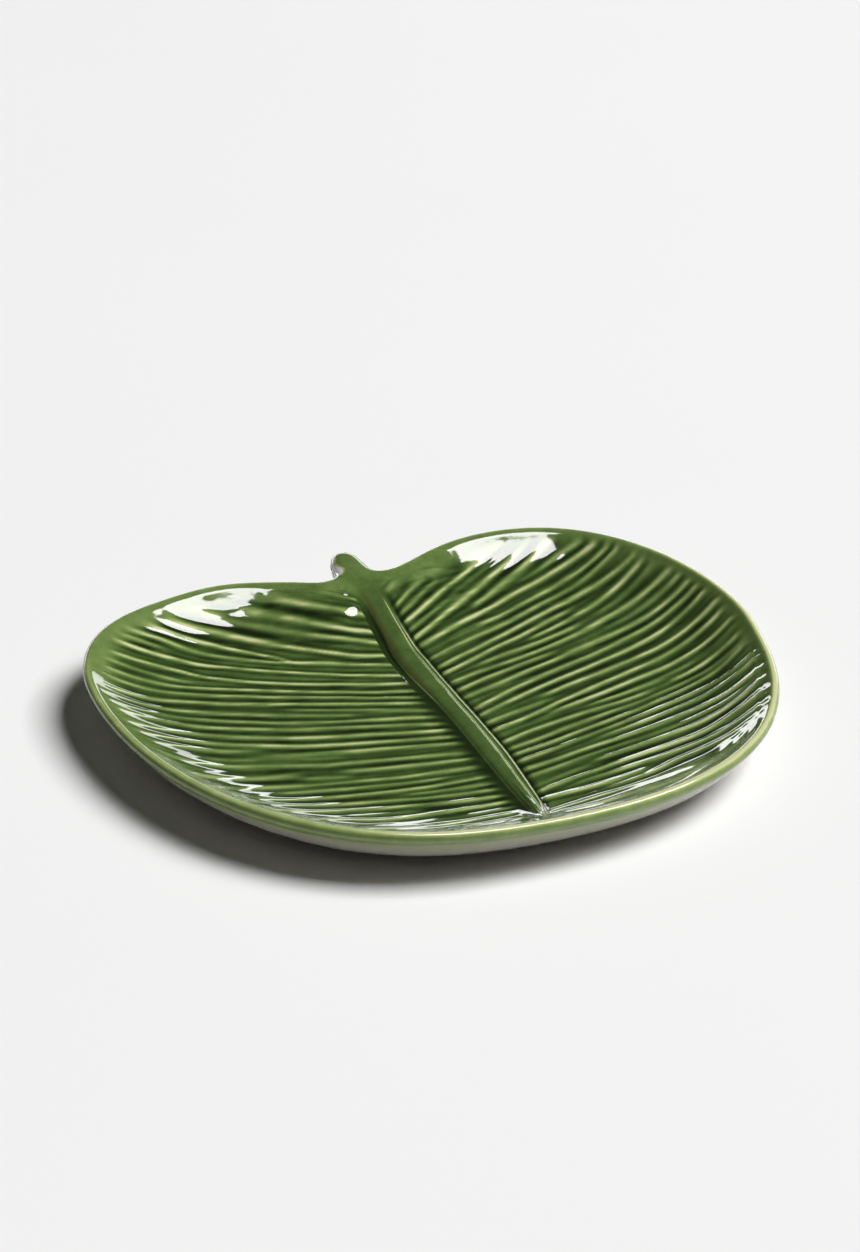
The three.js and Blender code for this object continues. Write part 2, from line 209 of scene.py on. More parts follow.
def natural_spline(xk, yk, x):
    """Natural cubic spline through the knots."""
    xk, yk, x = (np.asarray(v, float) for v in (xk, yk, x))
    n, h = len(xk), np.diff(xk)
    a, r = np.eye(n), np.zeros(n)
    for i in range(1, n - 1):
        a[i, i - 1:i + 2] = h[i - 1], 2 * (h[i - 1] + h[i]), h[i]
        r[i] = 6 * ((yk[i + 1] - yk[i]) / h[i] - (yk[i] - yk[i - 1]) / h[i - 1])
    s = np.linalg.solve(a, r)
    i = np.clip(np.searchsorted(xk, x, side="right") - 1, 0, n - 2)
    u, v = xk[i + 1] - x, x - xk[i]
    return (
        s[i] * u**3 / (6 * h[i]) + s[i + 1] * v**3 / (6 * h[i])
        + (yk[i] / h[i] - s[i] * h[i] / 6) * u + (yk[i + 1] / h[i] - s[i + 1] * h[i] / 6) * v
    )


def closed_curve(points, count):
    """Closed cubic spline by chord length, resampled at even arc length."""
    p = np.asarray(points, float)
    n = len(p)
    h = np.linalg.norm(np.roll(p, -1, 0) - p, axis=1)
    a, r = np.zeros((n, n)), np.zeros((n, 2))
    for i in range(n):
        j, k = (i - 1) % n, (i + 1) % n
        a[i, j] += h[j]
        a[i, i] += 2 * (h[j] + h[i])
        a[i, k] += h[i]
        r[i] = 6 * ((p[k] - p[i]) / h[i] - (p[i] - p[j]) / h[j])
    s = np.linalg.solve(a, r)
    t = np.linspace(0, 1, 60, endpoint=False)[None, :, None]
    q, hh = np.roll(p, -1, 0), h[:, None, None]
    sq = np.roll(s, -1, 0)
    u, v = (1 - t) * hh, t * hh
    c = (
        s[:, None] * u**3 / (6 * hh) + sq[:, None] * v**3 / (6 * hh)
        + (p[:, None] / hh - s[:, None] * hh / 6) * u + (q[:, None] / hh - sq[:, None] * hh / 6) * v
    ).reshape(-1, 2)
    c = np.vstack([c, c[:1]])
    arc = np.r_[0, np.cumsum(np.linalg.norm(np.diff(c, axis=0), axis=1))]
    e = np.linspace(0, arc[-1], count, endpoint=False)
    return np.c_[np.interp(e, arc, c[:, 0]), np.interp(e, arc, c[:, 1])], arc[-1]


def value_noise(x, y, seed):
    """Smooth seeded noise from about -1 to 1 with cells one unit wide."""
    table = np.random.default_rng(seed).uniform(-1, 1, (64, 64))
    x, y = np.asarray(x, float), np.asarray(y, float)
    i, j = np.floor(x).astype(int), np.floor(y).astype(int)
    u, v = x - i, y - j
    u, v = u * u * u * (u * (6 * u - 15) + 10), v * v * v * (v * (6 * v - 15) + 10)
    g = lambda a, b: table[a % 64, b % 64]
    return mix(mix(g(i, j), g(i + 1, j), u), mix(g(i, j + 1), g(i + 1, j + 1), u), v)


# ---- outlines ----
ring_angle = np.radians(6.0 * np.arange(60))
blade_points = np.c_[RIM_RADII * np.cos(ring_angle), RIM_RADII * np.sin(ring_angle)]
leaf_points = np.vstack([blade_points[17:], blade_points[:14], STALK_EDGE])
EDGE_COUNT = 6000
edge, edge_length = closed_curve(leaf_points, EDGE_COUNT)
edge_step = edge_length / EDGE_COUNT


def inward(curve):
    t = np.roll(curve, -1, 0) - np.roll(curve, 1, 0)
    t /= np.linalg.norm(t, axis=1)[:, None]
    return np.c_[-t[:, 1], t[:, 0]]


edge_in = inward(edge)
SHIFT = np.array([-0.24, -1.05])  # the leaf frame's place in the part's frame

edge_tree = kdtree.KDTree(EDGE_COUNT)
for k, (px, py) in enumerate(edge):
    edge_tree.insert((px, py, 0.0), k)
edge_tree.balance()


def rim_distance(x, y):
    flat = np.c_[np.ravel(x), np.ravel(y)]
    return np.array([edge_tree.find((a, b, 0.0))[2] for a, b in flat]).reshape(np.shape(x))


tip_at = int(np.argmin(np.hypot(edge[:, 0] - 3.4, edge[:, 1] - 123.2)))
end_at = int(np.argmin(np.abs(np.unwrap(np.arctan2(edge[:, 1], edge[:, 0])) % (2 * np.pi) - np.radians(LEAF_TIP_ANGLE))))


def side_edge(side):
    """Rim points and inward normals from the stalk tip round one half to the leaf tip."""
    if side == "left":
        idx = np.arange(tip_at, tip_at + (end_at - tip_at) % EDGE_COUNT + 1) % EDGE_COUNT
    else:
        idx = np.arange(tip_at, tip_at - (tip_at - end_at) % EDGE_COUNT - 1, -1) % EDGE_COUNT
    return edge[idx], edge_in[idx]


def centre_x(y):
    return natural_spline(CENTRE[::-1, 1], CENTRE[::-1, 0], y)


# ---- heights ----
def lip_inner(y):
    return mix(LIP_R, LIP_BACK, smooth(62.0, 84.0, y))


def wall_top(d, inner=LIP_R, tilt=LIP_TILT):
    """Smooth upper face of the blade at a plan distance from the rim, for an inner round and a slope of the lip."""
    d = np.asarray(d, float)
    d0 = LIP_R + inner * np.sin(tilt)
    z0 = H - inner * (1 - np.cos(tilt))
    drop = z0 - WELL_Z
    wide = drop * WELL_POWER / np.tan(tilt)
    wall = z0 - drop * (1 - (1 - np.clip((d - d0) / wide, 0, 1)) ** WELL_POWER)
    outer = H - LIP_R + np.sqrt(np.maximum(LIP_R**2 - (LIP_R - np.minimum(d, LIP_R)) ** 2, 0))
    round_in = H - inner + np.sqrt(np.maximum(inner**2 - (np.clip(d, LIP_R, d0) - LIP_R) ** 2, 0))
    return np.where(d < LIP_R, outer, np.where(d < d0, round_in, wall))


def gentle_top(d, inner):
    """Upper face on the long slope that runs up to the stalk."""
    d = np.asarray(d, float)
    tilt = math.radians(17.5)
    d0 = LIP_R + inner * math.sin(tilt)
    z0 = H - inner * (1 - math.cos(tilt))
    wall = z0 - (z0 - WELL_Z) * (1 - (1 - np.clip((d - d0) / NOTCH_WALL, 0, 1)) ** NOTCH_POWER)
    return np.where(d < d0, wall_top(d, inner), wall)


def notch_share(x, y):
    return (1 - smooth(NOTCH_FULL, NOTCH_END, np.abs(x))) * smooth(38.0, 60.0, y)


def dome_top(d):
    """Rounded back of the stalk."""
    return H - 2.4 + 2.8 * np.sqrt(np.maximum(1 - (1 - np.clip(d / 4.8, 0, 1)) ** 2, 0))


def stalk_share(x, y):
    """1 on the stalk, 0 on the blade."""
    return smooth(91.0, 104.0, y) * (1 - smooth(9.0, 16.5, np.abs(x - 0.7)))


# top line of the ridge that carries the stalk down into the midrib
RIDGE_Y = [28, 36, 40, 45, 50, 55, 60, 65, 70, 75, 80, 85, 90, 95, 100, 104, 125]
RIDGE_Z = [6.0, 7.6, 8.4, 9.0, 9.65, 10.3, 11.05, 12.05, 13.3, 14.7, 16.25, 18.1, 19.9, 21.6, 23.0, 23.4, 23.4]


def soft_max(a, b, k):
    t = np.clip(0.5 + 0.5 * (a - b) / k, 0.0, 1.0)
    return mix(b, a, t) + k * t * (1 - t)


def press(x, y, at, steep, long, wide):
    """Small finger-made hollow in the slope: steeper than its surroundings at one spot."""
    t = -(x - at[0]) * 0.418 - (y - at[1]) * 0.908
    u = (x - at[0]) * 0.908 - (y - at[1]) * 0.418
    return -steep * t * np.exp(-((t / long) ** 2) - (u / wide) ** 2)


def base_top(x, y, d):
    inner = lip_inner(y)
    tilt = LIP_TILT - math.radians(6.5) * smooth(-74.0, -92.0, x) * smooth(55.0, 85.0, y)
    z = mix(wall_top(d, inner, tilt), gentle_top(d, inner), notch_share(x, y))
    ridge = pchip(RIDGE_Y, RIDGE_Z, y) - mix(0.05, 0.03, smooth(82.0, 98.0, y)) * (x - centre_x(y)) ** 2
    z = mix(z, soft_max(z, ridge, 1.2), smooth(30.0, 42.0, y) * (1 - smooth(14.0, 22.0, np.abs(x))))
    z = z + press(x, y, (-10.2, 77.6), 0.36, 5.2, 3.3) + press(x, y, (-8.8, 87.5), 0.34, 1.5, 3.0)
    return mix(z, dome_top(d), stalk_share(x, y))


# cross-section of the midrib and its grooves: steep and deep on the left, with a narrow ledge on the right
RIB_LEFT_Q = [0, 0.3, 0.55, 0.75, 0.9, 1.0, 1.1, 1.2, 1.35, 1.5, 1.7, 1.9, 2.1, 2.25]
RIB_LEFT_Z = [1.15, 1.1, 0.92, 0.6, 0.2, -0.2, -0.65, -1.02, -1.3, -1.38, -1.25, -0.85, -0.3, 0.0]
RIB_RIGHT_Q = [0, 0.3, 0.55, 0.75, 0.88, 0.97, 1.05, 1.15, 1.35, 1.6, 1.76, 1.86, 1.95, 2.05, 2.15, 2.25]
RIB_RIGHT_Z = [1.15, 1.12, 1.0, 0.78, 0.52, 0.16, -0.08, -0.16, -0.22, -0.34, -0.52, -0.85, -0.95, -0.7, -0.3, 0.0]
RIB_SPAN = 2.25


# measures of the midrib along the leaf: half of the crown, ledge and hollow on its right, groove on its left
RIB_Y = [-115, -95, -80, -60, -40, -20, 0, 20, 40, 60, 80, 120]
RIB_HALF = [1.4, 1.75, 2.55, 3.2, 3.65, 3.75, 3.75, 4.5, 4.9, 4.4, 4.1, 4.1]
RIB_LEDGE = [1.0, 1.6, 2.3, 3.0, 3.2, 2.8, 2.7, 2.3, 2.2, 1.4, 0.9, 0.9]
RIB_DITCH = [0.8, 1.0, 1.1, 1.3, 1.2, 1.5, 1.6, 1.6, 1.8, 2.0, 3.0, 3.0]
RIB_GROOVE = [2.5, 3.6, 4.6, 4.3, 4.1, 4.3, 5.0, 4.2, 3.6, 4.2, 4.0, 4.0]


def rib_half(y):
    return pchip(RIB_Y, RIB_HALF, y)


def rib_reach(q, y, side):
    """Distance from the centre line at q: 1 is the edge of the crown, RIB_SPAN the end of the relief."""
    half = rib_half(y)
    if side == "left":
        beyond = np.maximum(q - 1, 0) / 1.25 * pchip(RIB_Y, RIB_GROOVE, y)
    else:
        beyond = np.clip((q - 1) / 0.83, 0, 1) * pchip(RIB_Y, RIB_LEDGE, y)
        beyond = beyond + np.maximum(q - 1.83, 0) / 0.42 * pchip(RIB_Y, RIB_DITCH, y)
    return np.minimum(q, 1) * half + beyond


def rib_place(x, y):
    """Signed q of a point, negative on the left."""
    slope = centre_x(y + 0.5) - centre_x(y - 0.5)
    off = (x - centre_x(y)) / np.sqrt(1 + slope**2)
    half, ledge, ditch, groove = (pchip(RIB_Y, t, y) for t in (RIB_HALF, RIB_LEDGE, RIB_DITCH, RIB_GROOVE))
    a = np.abs(off)
    right = np.where(a < half + ledge, 1 + (a - half) / ledge * 0.83, 1.83 + (a - half - ledge) / ditch * 0.42)
    beyond = np.where(off < 0, 1 + (a - half) / groove * 1.25, right)
    return np.sign(off) * np.where(a < half, a / half, beyond)


def crown_fade(y):
    return smooth(-97, -85, y) * (1 - smooth(74, 95, y))


def groove_fade(y):
    return smooth(-99, -86, y) * (1 - smooth(62, 88, y))


def rib_section(q):
    """Height across the midrib, q in half widths of its crown, negative on the left."""
    return np.where(q < 0, pchip(RIB_LEFT_Q, RIB_LEFT_Z, -q), pchip(RIB_RIGHT_Q, RIB_RIGHT_Z, q))


def rib_relief(x, y):
    q = rib_place(x, y)
    h = rib_section(q)
    low_left = np.where(q < 0, mix(0.14, 1.0, smooth(12.0, 58.0, y)), 1.0)
    return np.where(h > 0, h * crown_fade(y), h * groove_fade(y) * low_left), q


# ---- rows of the upper skin, from the midrib to the rim ----
def hit_rim(rim, y0, slope, sign):
    """Index on one half's rim where a straight vein line leaves the leaf."""
    x = sign * np.arange(10, 150, 0.25)
    y = y0 + slope * (np.abs(x) - 10)
    far = np.hypot(rim[:, 0][None, :] - x[:, None], rim[:, 1][None, :] - y[:, None])
    near = far.min(1)
    inside = np.cumsum(near < 0.6) == 0
    k = int(np.argmin(inside)) if not inside.all() else int(np.argmin(near))
    return int(np.argmin(far[k]))


def half_rows(side, count):
    rim, nrm = side_edge(side)
    sign = 1.0 if side == "right" else -1.0
    arc = np.r_[0, np.cumsum(np.linalg.norm(np.diff(rim, axis=0), axis=1))]

    def at(px, py):
        return arc[int(np.argmin(np.hypot(rim[:, 0] - px, rim[:, 1] - py)))]

    pairs = [(0.0, 120.0)]
    if side == "right":
        pairs += [(at(9.2, 113), 112.6), (at(9.6, 104.4), 105.0), (at(12.2, 99.6), 98.6), (at(15.6, 99), 91.0), (at(24, 101.2), 83.5)]
        veins, tail = RIGHT_VEINS, [(46, -107.5, -100.5), (18, -118.5, -106.5)]
    else:
        pairs += [(at(-4.3, 113), 112.6), (at(-6.8, 105), 105.2), (at(-9.0, 101.2), 98.6), (at(-14, 99.6), 88.5), (at(-25, 103.4), 79.5)]
        veins, tail = LEFT_VEINS, [(-80.9, -96.4, -88.5), (-56, -109, -96.5), (-35, -115, -104)]
    for y0, m in veins:
        pairs.append((arc[hit_rim(rim, y0, m, sign)], y0 - m * 10))
    for px, py, yc in tail:
        pairs.append((at(px, py), yc))
    pairs.append((arc[-1], -113.4))
    pa, py = (np.array(v) for v in zip(*pairs))
    # closer rows on the stalk and round the notch
    dens = 1.0 + 0.9 * (1 - smooth(34, 60, arc)) + 0.5 * smooth(arc[-1] - 40, arc[-1], arc)
    cum = np.r_[0, np.cumsum((dens[1:] + dens[:-1]) / 2 * np.diff(arc))]
    a = np.interp(np.linspace(0, cum[-1], count), cum, arc)
    s = pchip(pa, py, a)
    b = np.c_[np.interp(a, arc, rim[:, 0]), np.interp(a, arc, rim[:, 1])]
    n = np.c_[np.interp(a, arc, nrm[:, 0]), np.interp(a, arc, nrm[:, 1])]
    n /= np.linalg.norm(n, axis=1)[:, None]
    c = np.c_[centre_x(s), s]
    return {"side": side, "sign": sign, "s": s, "b": b, "n": n, "c": c}


ROWS = 480
halves = {side: half_rows(side, ROWS) for side in ("right", "left")}

# columns: rib profile, blade, lip, outer face
RIB_COLS = np.array([0, 0.3, 0.55, 0.75, 0.88, 0.96, 1.03, 1.1, 1.2, 1.35, 1.5, 1.65, 1.76, 1.86, 1.95, 2.05, 2.15, 2.25])
BLADE_COLS = 48
LIP_D = np.array([7.0, 6.0, 5.2, 4.4, 3.7, 3.1, 2.5, 1.95, 1.45, 1.0, 0.62, 0.33, 0.13, 0.03, 0.0])
LIP_FULL = 8.0


def vein_field(side, s, v):
    """Relief and paleness of the carved ridges over the grid, both 0 away from them."""
    relief, pale = np.zeros(v.shape), np.zeros(v.shape)
    for u0, u1, strength, path in RIGHT_RIDGES if side == "right" else LEFT_RIDGES:
        at = pchip(np.linspace(u0, u1, len(path)), path, np.clip(v, u0, u1))
        amp = np.full(v.shape, float(strength))
        if u0 > 0:
            amp = amp * smooth(u0 - 0.03, u0 + 0.06, v)
        if u1 < 1:
            amp = amp * (1 - smooth(u1 - 0.06, u1 + 0.03, v))
        off = s[:, None] - at
        crest = np.exp(-((off / 1.25) ** 2))
        flank = np.exp(-(((np.abs(off) - 2.7) / 1.15) ** 2))
        relief += amp * (0.36 * crest - 0.13 * flank)
        # pale crests and darker flanks: thin and pooled glaze, and also painted highlight and painted shade standing in
        # for the shading of the low relief
        pale += amp * (crest - 0.5 * flank)
    return np.clip(relief, -0.36, 0.5), np.clip(pale, -1.0, 1.4)


def half_grid(half):
    side, sign = half["side"], half["sign"]
    s, b, n, c = half["s"], half["b"], half["n"], half["c"]
    rows = len(s)
    reach = np.linalg.norm(b - c, axis=1)
    narrow = 1 - 0.42 * (1 - smooth(24.0, 52.0, np.abs(b[:, 0]))) * smooth(80.0, 95.0, b[:, 1])
    lip = np.minimum(LIP_FULL * narrow, 0.58 * reach)
    q = b + n * lip[:, None]
    way = q - c
    length = np.linalg.norm(way, axis=1)
    across = np.maximum(np.abs(way[:, 0]) / np.maximum(length, 1e-6), 0.35)
    span = rib_reach(RIB_COLS[None, :], s[:, None], side)
    rib = np.minimum(span[:, -1] / across, 0.5 * length)
    u_rib = span / span[:, -1:] * (rib / length)[:, None]
    blade = np.linspace(0, 1, BLADE_COLS + 1)[1:]
    u_blade = (rib / length)[:, None] + blade[None, :] * (1 - rib / length)[:, None]
    u = np.hstack([u_rib, u_blade])
    # slow bow of the veins
    v = np.clip((u - u_rib[:, -1:]) / (1 - u_rib[:, -1:]), 0, 1)
    size = np.clip((length - 25) / 75, 0, 1.2)
    if side == "left":
        bow = -2.6 * np.sin(2 * np.pi * v) * (size * smooth(-90, -30, s) * (1 - smooth(60, 85, s)))[:, None]
    else:
        bow = -2.6 * np.sin(np.pi * v) * (size * smooth(-80, -40, s) * (1 - smooth(25, 42, s)))[:, None]
        bow = bow + 1.0 * np.sin(np.pi * v) * (size * smooth(30, 50, s) * (1 - smooth(65, 85, s)))[:, None]
    x = c[:, :1] + way[:, :1] * u
    y = c[:, 1:] + way[:, 1:] * u + bow
    # lip columns
    f = lip / LIP_FULL
    d_lip = LIP_D[None, :] * f[:, None]
    xl = b[:, :1] + n[:, :1] * d_lip
    yl = b[:, 1:] + n[:, 1:] * d_lip
    d_in = rim_distance(x, y)
    d_in[:, -1] = lip
    x, y, d = np.hstack([x, xl]), np.hstack([y, yl]), np.hstack([d_in, d_lip])
    u = np.hstack([u, np.ones((rows, len(LIP_D)))])
    v = np.hstack([v, np.ones((rows, len(LIP_D)))])
    z = base_top(x, y, d)
    share = stalk_share(x, y)
    rib_z, rq = rib_relief(x, y)
    # veins
    relief, pale = vein_field(side, s, v)
    start = smooth(1.8, 2.35, np.abs(rq))
    if side == "left":
        start = mix(smooth(1.35, 3.1, np.abs(rq)), start, smooth(-10.0, 40.0, y))
    clear = (1 - smooth(0.10, 0.45, share)) * smooth(-116, -100, y)
    wavy = d + 1.6 * value_noise(x / 9, y / 9, 5)
    vein = relief * start * clear * smooth(mix(2.4, 3.5, smooth(-25.0, 25.0, y)), mix(mix(7.0, 11.0, smooth(-25.0, 25.0, y)), mix(24.0, 12.5, smooth(-40.0, -58.0, x) + smooth(84.0, 98.0, x)), smooth(45.0, 80.0, y)), wavy)
    if side == "left":
        strong = mix(0.52, mix(0.6, 1.0, smooth(-52.0, -82.0, x)), smooth(-28.0, -74.0, y)) * mix(0.4, 1.0, smooth(0.0, 0.12, v))
        back = mix(0.36, 0.64, smooth(-40.0, -58.0, x)) - 0.2 * smooth(-84.0, -96.0, x)
    else:
        strong = mix(0.54, 1.14, smooth(2.0, -48.0, y) * mix(0.3, 1.0, smooth(0.42, 0.78, v)))
        back = 0.36
    vein = vein * mix(strong, back, smooth(45.0, 75.0, y))
    if side == "right":  # fine runs of glaze beside the lip at the right front
        run = d + 0.9 * value_noise(x / 14, y / 14, 21)
        along = smooth(12.0, 30.0, x) * smooth(-8.0, -34.0, y)
        vein = vein + 0.17 * np.sin(2 * math.pi * run / 3.5) * along * smooth(5.0, 6.6, d) * (1 - smooth(10.0, 15.0, run)) * start
    vein = vein + 0.028 * value_noise(s[:, None] / 1.15 + 0 * v, 7.0 * v, 14) * start * clear * smooth(4.0, 14.0, wavy)
    vein = vein * (1 - np.exp(-(((x + 9.8) / 5.5) ** 2) - ((y - 79.5) / 7.0) ** 2))
    ripple = 0.05 * value_noise(x / 7.0, y / 7.0, 3) + 0.03 * value_noise(x / 3.1, y / 3.1, 4)
    z = z + rib_z + vein + ripple * smooth(2.5, 8, d)
    # how thin the glaze lies: pale on crests and near the rim, deep in hollows; on the ridges this contrast is also
    # painted highlight and painted shade for their relief
    streaky = 0.86 + 0.34 * value_noise(x / 13.0, y / 3.2, 12)
    tone = 0.44 + 0.49 * pale * streaky * start * clear * smooth(mix(6.0, 4.5, smooth(80.0, 98.0, x)), mix(16.0, 10.5, smooth(80.0, 98.0, x)), wavy)
    # thin brush-like lines that run along with the veins
    lines = value_noise(s[:, None] / 1.15 + 0 * v, 7.0 * v, 14) + 0.8 * value_noise(s[:, None] / 2.3 + 0 * v, 4.0 * v, 15)
    tone = tone + 0.075 * lines * start * clear * smooth(4.0, 12.0, wavy)
    tone = tone + (0.13 + 0.05 * smooth(-30.0, -60.0, x) * smooth(40.0, 70.0, y)) * (1 - smooth(9.0, 18.0, wavy)) * (1 - 0.15 * notch_share(x, y))
    low = smooth(-103, -91, y)
    # painted highlights: pale lines along the crown's right edge and along the ledge's outer edge, partly thin glaze on
    # those edges and partly painted glint
    edge_glint_line = np.exp(-(((rq - 1.0) / 0.12) ** 2)) * low * (1 - smooth(76, 84, y))
    ledge = smooth(1.03, 1.12, rq) * (1 - smooth(1.70, 1.80, rq)) * low * (1 - smooth(25, 60, y))
    ledge_glint_line = np.exp(-(((rq - 1.81) / 0.12) ** 2)) * low * (1 - smooth(56, 76, y))
    ledge_dark = np.exp(-(((rq - 1.53) / 0.11) ** 2)) * low * (1 - smooth(40, 66, y))
    # pooled glaze beside the rib's left side, widened and darkened into painted shade where the rib would cast its soft
    # shadow
    left_pool_and_shade = mix(smooth(-3.7, -1.5, rq), smooth(-2.3, -1.9, rq), smooth(0.0, 45.0, y)) * (1 - smooth(-1.2, -0.95, rq)) * low * (1 - smooth(72, 90, y))
    # painted shade on the crown's left flank, which faces away from the key light; the material paints it olive-brown
    flank_shade = smooth(-1.05, -0.95, rq) * (1 - smooth(-0.6, -0.35, rq)) * smooth(5, 25, y) * (1 - smooth(80, 93, y))
    right_pool = np.exp(-(((rq - 2.07) / 0.16) ** 2)) * low * (1 - smooth(76, 88, y))
    # painted highlight: a thin pale line along the left foot of the crown
    foot_highlight_line = np.exp(-(((rq + 1.02) / 0.06) ** 2)) * smooth(0, 10, y) * (1 - smooth(48, 60, y))
    tone = tone + (0.46 + 0.22 * smooth(45.0, 65.0, y)) * edge_glint_line + 0.06 * ledge + 0.75 * ledge_glint_line + 0.3 * foot_highlight_line - 0.3 * ledge_dark - mix(0.4, 0.34, smooth(-20.0, 30.0, y)) * left_pool_and_shade - 0.04 * flank_shade - 0.34 * right_pool
    lip_line = np.exp(-(((d - 1.7) / 1.25) ** 2)) * (1 - smooth(0.1, 0.5, share))
    tone = tone + lip_line * mix(0.58, 0.18, smooth(30, 90, y)) * mix(1.0, 0.5, smooth(-40, -100, x))
    deep = mix(3.6, 1.5, smooth(104.0, 110.0, y)) + 0.6 * value_noise(y / 2.2, x / 2.2, 8)
    on_left = (sign < 0) * smooth(0.5, 0.9, share) * smooth(99.5, 101.5, y)
    bare = smooth(deep + 0.45, deep - 0.45, d) * on_left
    tone = tone + 0.3 * np.exp(-(((d - deep - 0.5) / 0.5) ** 2)) * on_left
    # outer face below the lip
    drop = mix(4.7, 3.3, smooth(0.1, 0.6, stalk_share(b[:, 0], b[:, 1]))) + 0.35 * value_noise(b[:, 0] / 11, b[:, 1] / 11, 9)
    zr = z[:, -1]
    outs = []
    for a in (8, 18, 29):
        t = math.radians(a)
        outs.append((np.full(rows, LIP_R * (1 - math.cos(t))), zr - LIP_R * math.sin(t)))
    d1, z1 = outs[-1]
    for k in (0.35, 0.65, 0.85, 0.97):
        zk = mix(z1, H - drop, k)
        outs.append((d1 + (z1 - zk) / 1.8, zk))
    dl, zl = outs[-1]
    outs.append((dl + 0.14, zl - 0.10))
    outs.append((dl + 0.42, zl - 0.06))
    xo = np.stack([b[:, 0] + n[:, 0] * dd for dd, _ in outs], 1)
    yo = np.stack([b[:, 1] + n[:, 1] * dd for dd, _ in outs], 1)
    zo = np.stack([zz for _, zz in outs], 1)
    below = np.clip((H - zo - 1.0) / np.maximum(drop - 1.0, 0.5)[:, None], 0, 1.2)
    to = mix(0.75, 0.65, smooth(0.25, 0.75, below)) - 0.08 * smooth(0.86, 1.0, below)
    bo = np.repeat(bare[:, -1:], xo.shape[1], 1)
    return {
        "x": np.hstack([x, xo]), "y": np.hstack([y, yo]), "z": np.hstack([z, zo]),
        # the pale clay colour also paints the ledge's glint line whiter, a painted highlight
        "tone": np.hstack([tone, to]), "bare": np.hstack([np.maximum(bare, 0.3 * ledge_glint_line), bo]),
        "olive": np.hstack([flank_shade, np.zeros(xo.shape)]),
    }


# ---- mesh building ----
def make_piece(name, verts_mm, faces, attributes=None):
    v = np.asarray(verts_mm, float).copy()
    v[:, 0] += SHIFT[0]
    v[:, 1] += SHIFT[1]
    mesh = bpy.data.meshes.new(name)
    mesh.from_pydata((v * MM).tolist(), [], [list(map(int, f)) for f in faces])
    mesh.validate()
    mesh.polygons.foreach_set("use_smooth", np.ones(len(mesh.polygons), bool))
    for key, values in (attributes or {}).items():
        layer = mesh.attributes.new(key, "FLOAT", "POINT")
        layer.data.foreach_set("value", np.asarray(values, np.float32))
    mesh.update()
    obj = bpy.data.objects.new(name, mesh)
    bpy.context.scene.collection.objects.link(obj)
    return obj


def vertex_normals(verts, quads):
    n = np.zeros_like(verts)
    q = np.asarray(quads)
    d1, d2 = verts[q[:, 2]] - verts[q[:, 0]], verts[q[:, 3]] - verts[q[:, 1]]
    fn = np.cross(d1, d2)
    for k in range(4):
        np.add.at(n, q[:, k], fn)
    return n / np.maximum(np.linalg.norm(n, axis=1), 1e-12)[:, None]


def ring_faces(rings, per_ring, close_rings=False):
    """Quads between stacked closed rings."""
    out = []
    last = rings if close_rings else rings - 1
    for i in range(last):
        a0, b0 = i * per_ring, ((i + 1) % rings) * per_ring
        for j in range(per_ring):
            k = (j + 1) % per_ring
            out.append((a0 + j, a0 + k, b0 + k, b0 + j))
    return out


def glaze_piece():
    grids = {side: half_grid(h) for side, h in halves.items()}
    cols = grids["right"]["x"].shape[1]
    order = [("right", i) for i in range(ROWS)] + [("left", i) for i in range(ROWS - 2, 0, -1)]
    total = len(order)
    index = np.zeros((total, cols), int)
    keys = ("x", "y", "z", "tone", "bare", "olive")
    data = {k: [] for k in keys}
    for i in range(ROWS):  # shared centre line
        for k in keys:
            data[k].append((grids["right"][k][i, 0] + grids["left"][k][i, 0]) / 2)
    at = ROWS
    for r, (side, i) in enumerate(order):
        index[r, 0] = i
        index[r, 1:] = at + np.arange(cols - 1)
        at += cols - 1
        for k in keys:
            row = grids[side][k][i]
            if i in (0, ROWS - 1):
                row = (grids["right"][k][i] + grids["left"][k][i]) / 2
            data[k].extend(row[1:])
    verts = np.c_[data["x"], data["y"], data["z"]]
    nxt = np.roll(index, -1, 0)
    quads = np.stack([index[:, :-1], index[:, 1:], nxt[:, 1:], nxt[:, :-1]], -1).reshape(-1, 4)
    nrm = vertex_normals(verts, quads)
    if nrm[:ROWS, 2].mean() < 0:
        quads = quads[:, ::-1]
        nrm = -nrm
    # inner face, a coat's thickness below the lip and farther down under the ridges, on fewer columns
    ribs = len(RIB_COLS)
    pick = list(range(0, ribs, 3)) + list(range(ribs + 2, ribs + BLADE_COLS, 4)) + list(range(ribs + BLADE_COLS, cols, 3))
    pick = [j for j in pick if j < cols - 4] + [cols - 3]
    inner = np.zeros((total, len(pick)), int)
    extra, at = [], len(verts)
    lower = {}
    for r in range(total):
        for k, j in enumerate(pick):
            src = int(index[r, j])
            if j == 0 and src in lower:
                inner[r, k] = lower[src]
                continue
            p = verts[src] - nrm[src] * (INNER_T if j < ribs + BLADE_COLS - 3 else GLAZE_T)
            extra.append(p)
            inner[r, k] = at
            if j == 0:
                lower[src] = at
            at += 1
    inner_next = np.roll(inner, -1, 0)
    more = np.stack([inner[:, :-1], inner_next[:, :-1], inner_next[:, 1:], inner[:, 1:]], -1).reshape(-1, 4)
    hem = np.stack([inner[:, -1], inner_next[:, -1], nxt[:, -1], index[:, -1]], -1)
    all_v = np.vstack([verts, np.array(extra)])
    pad = lambda key, fill: np.r_[data[key], np.full(len(extra), fill)]
    faces = [tuple(f) for f in quads.tolist()] + [tuple(f) for f in more.tolist()] + [tuple(f) for f in hem.tolist()]
    obj = make_piece("green_glaze_skin", all_v, faces, {"tone": pad("tone", 0.4), "bare": pad("bare", 0.0), "olive": pad("olive", 0.0)})
    return obj, grids


def fix_normals(obj):
    bm = bmesh.new()
    bm.from_mesh(obj.data)
    bmesh.ops.recalc_face_normals(bm, faces=bm.faces)
    bm.to_mesh(obj.data)
    bm.free()
    obj.data.update()


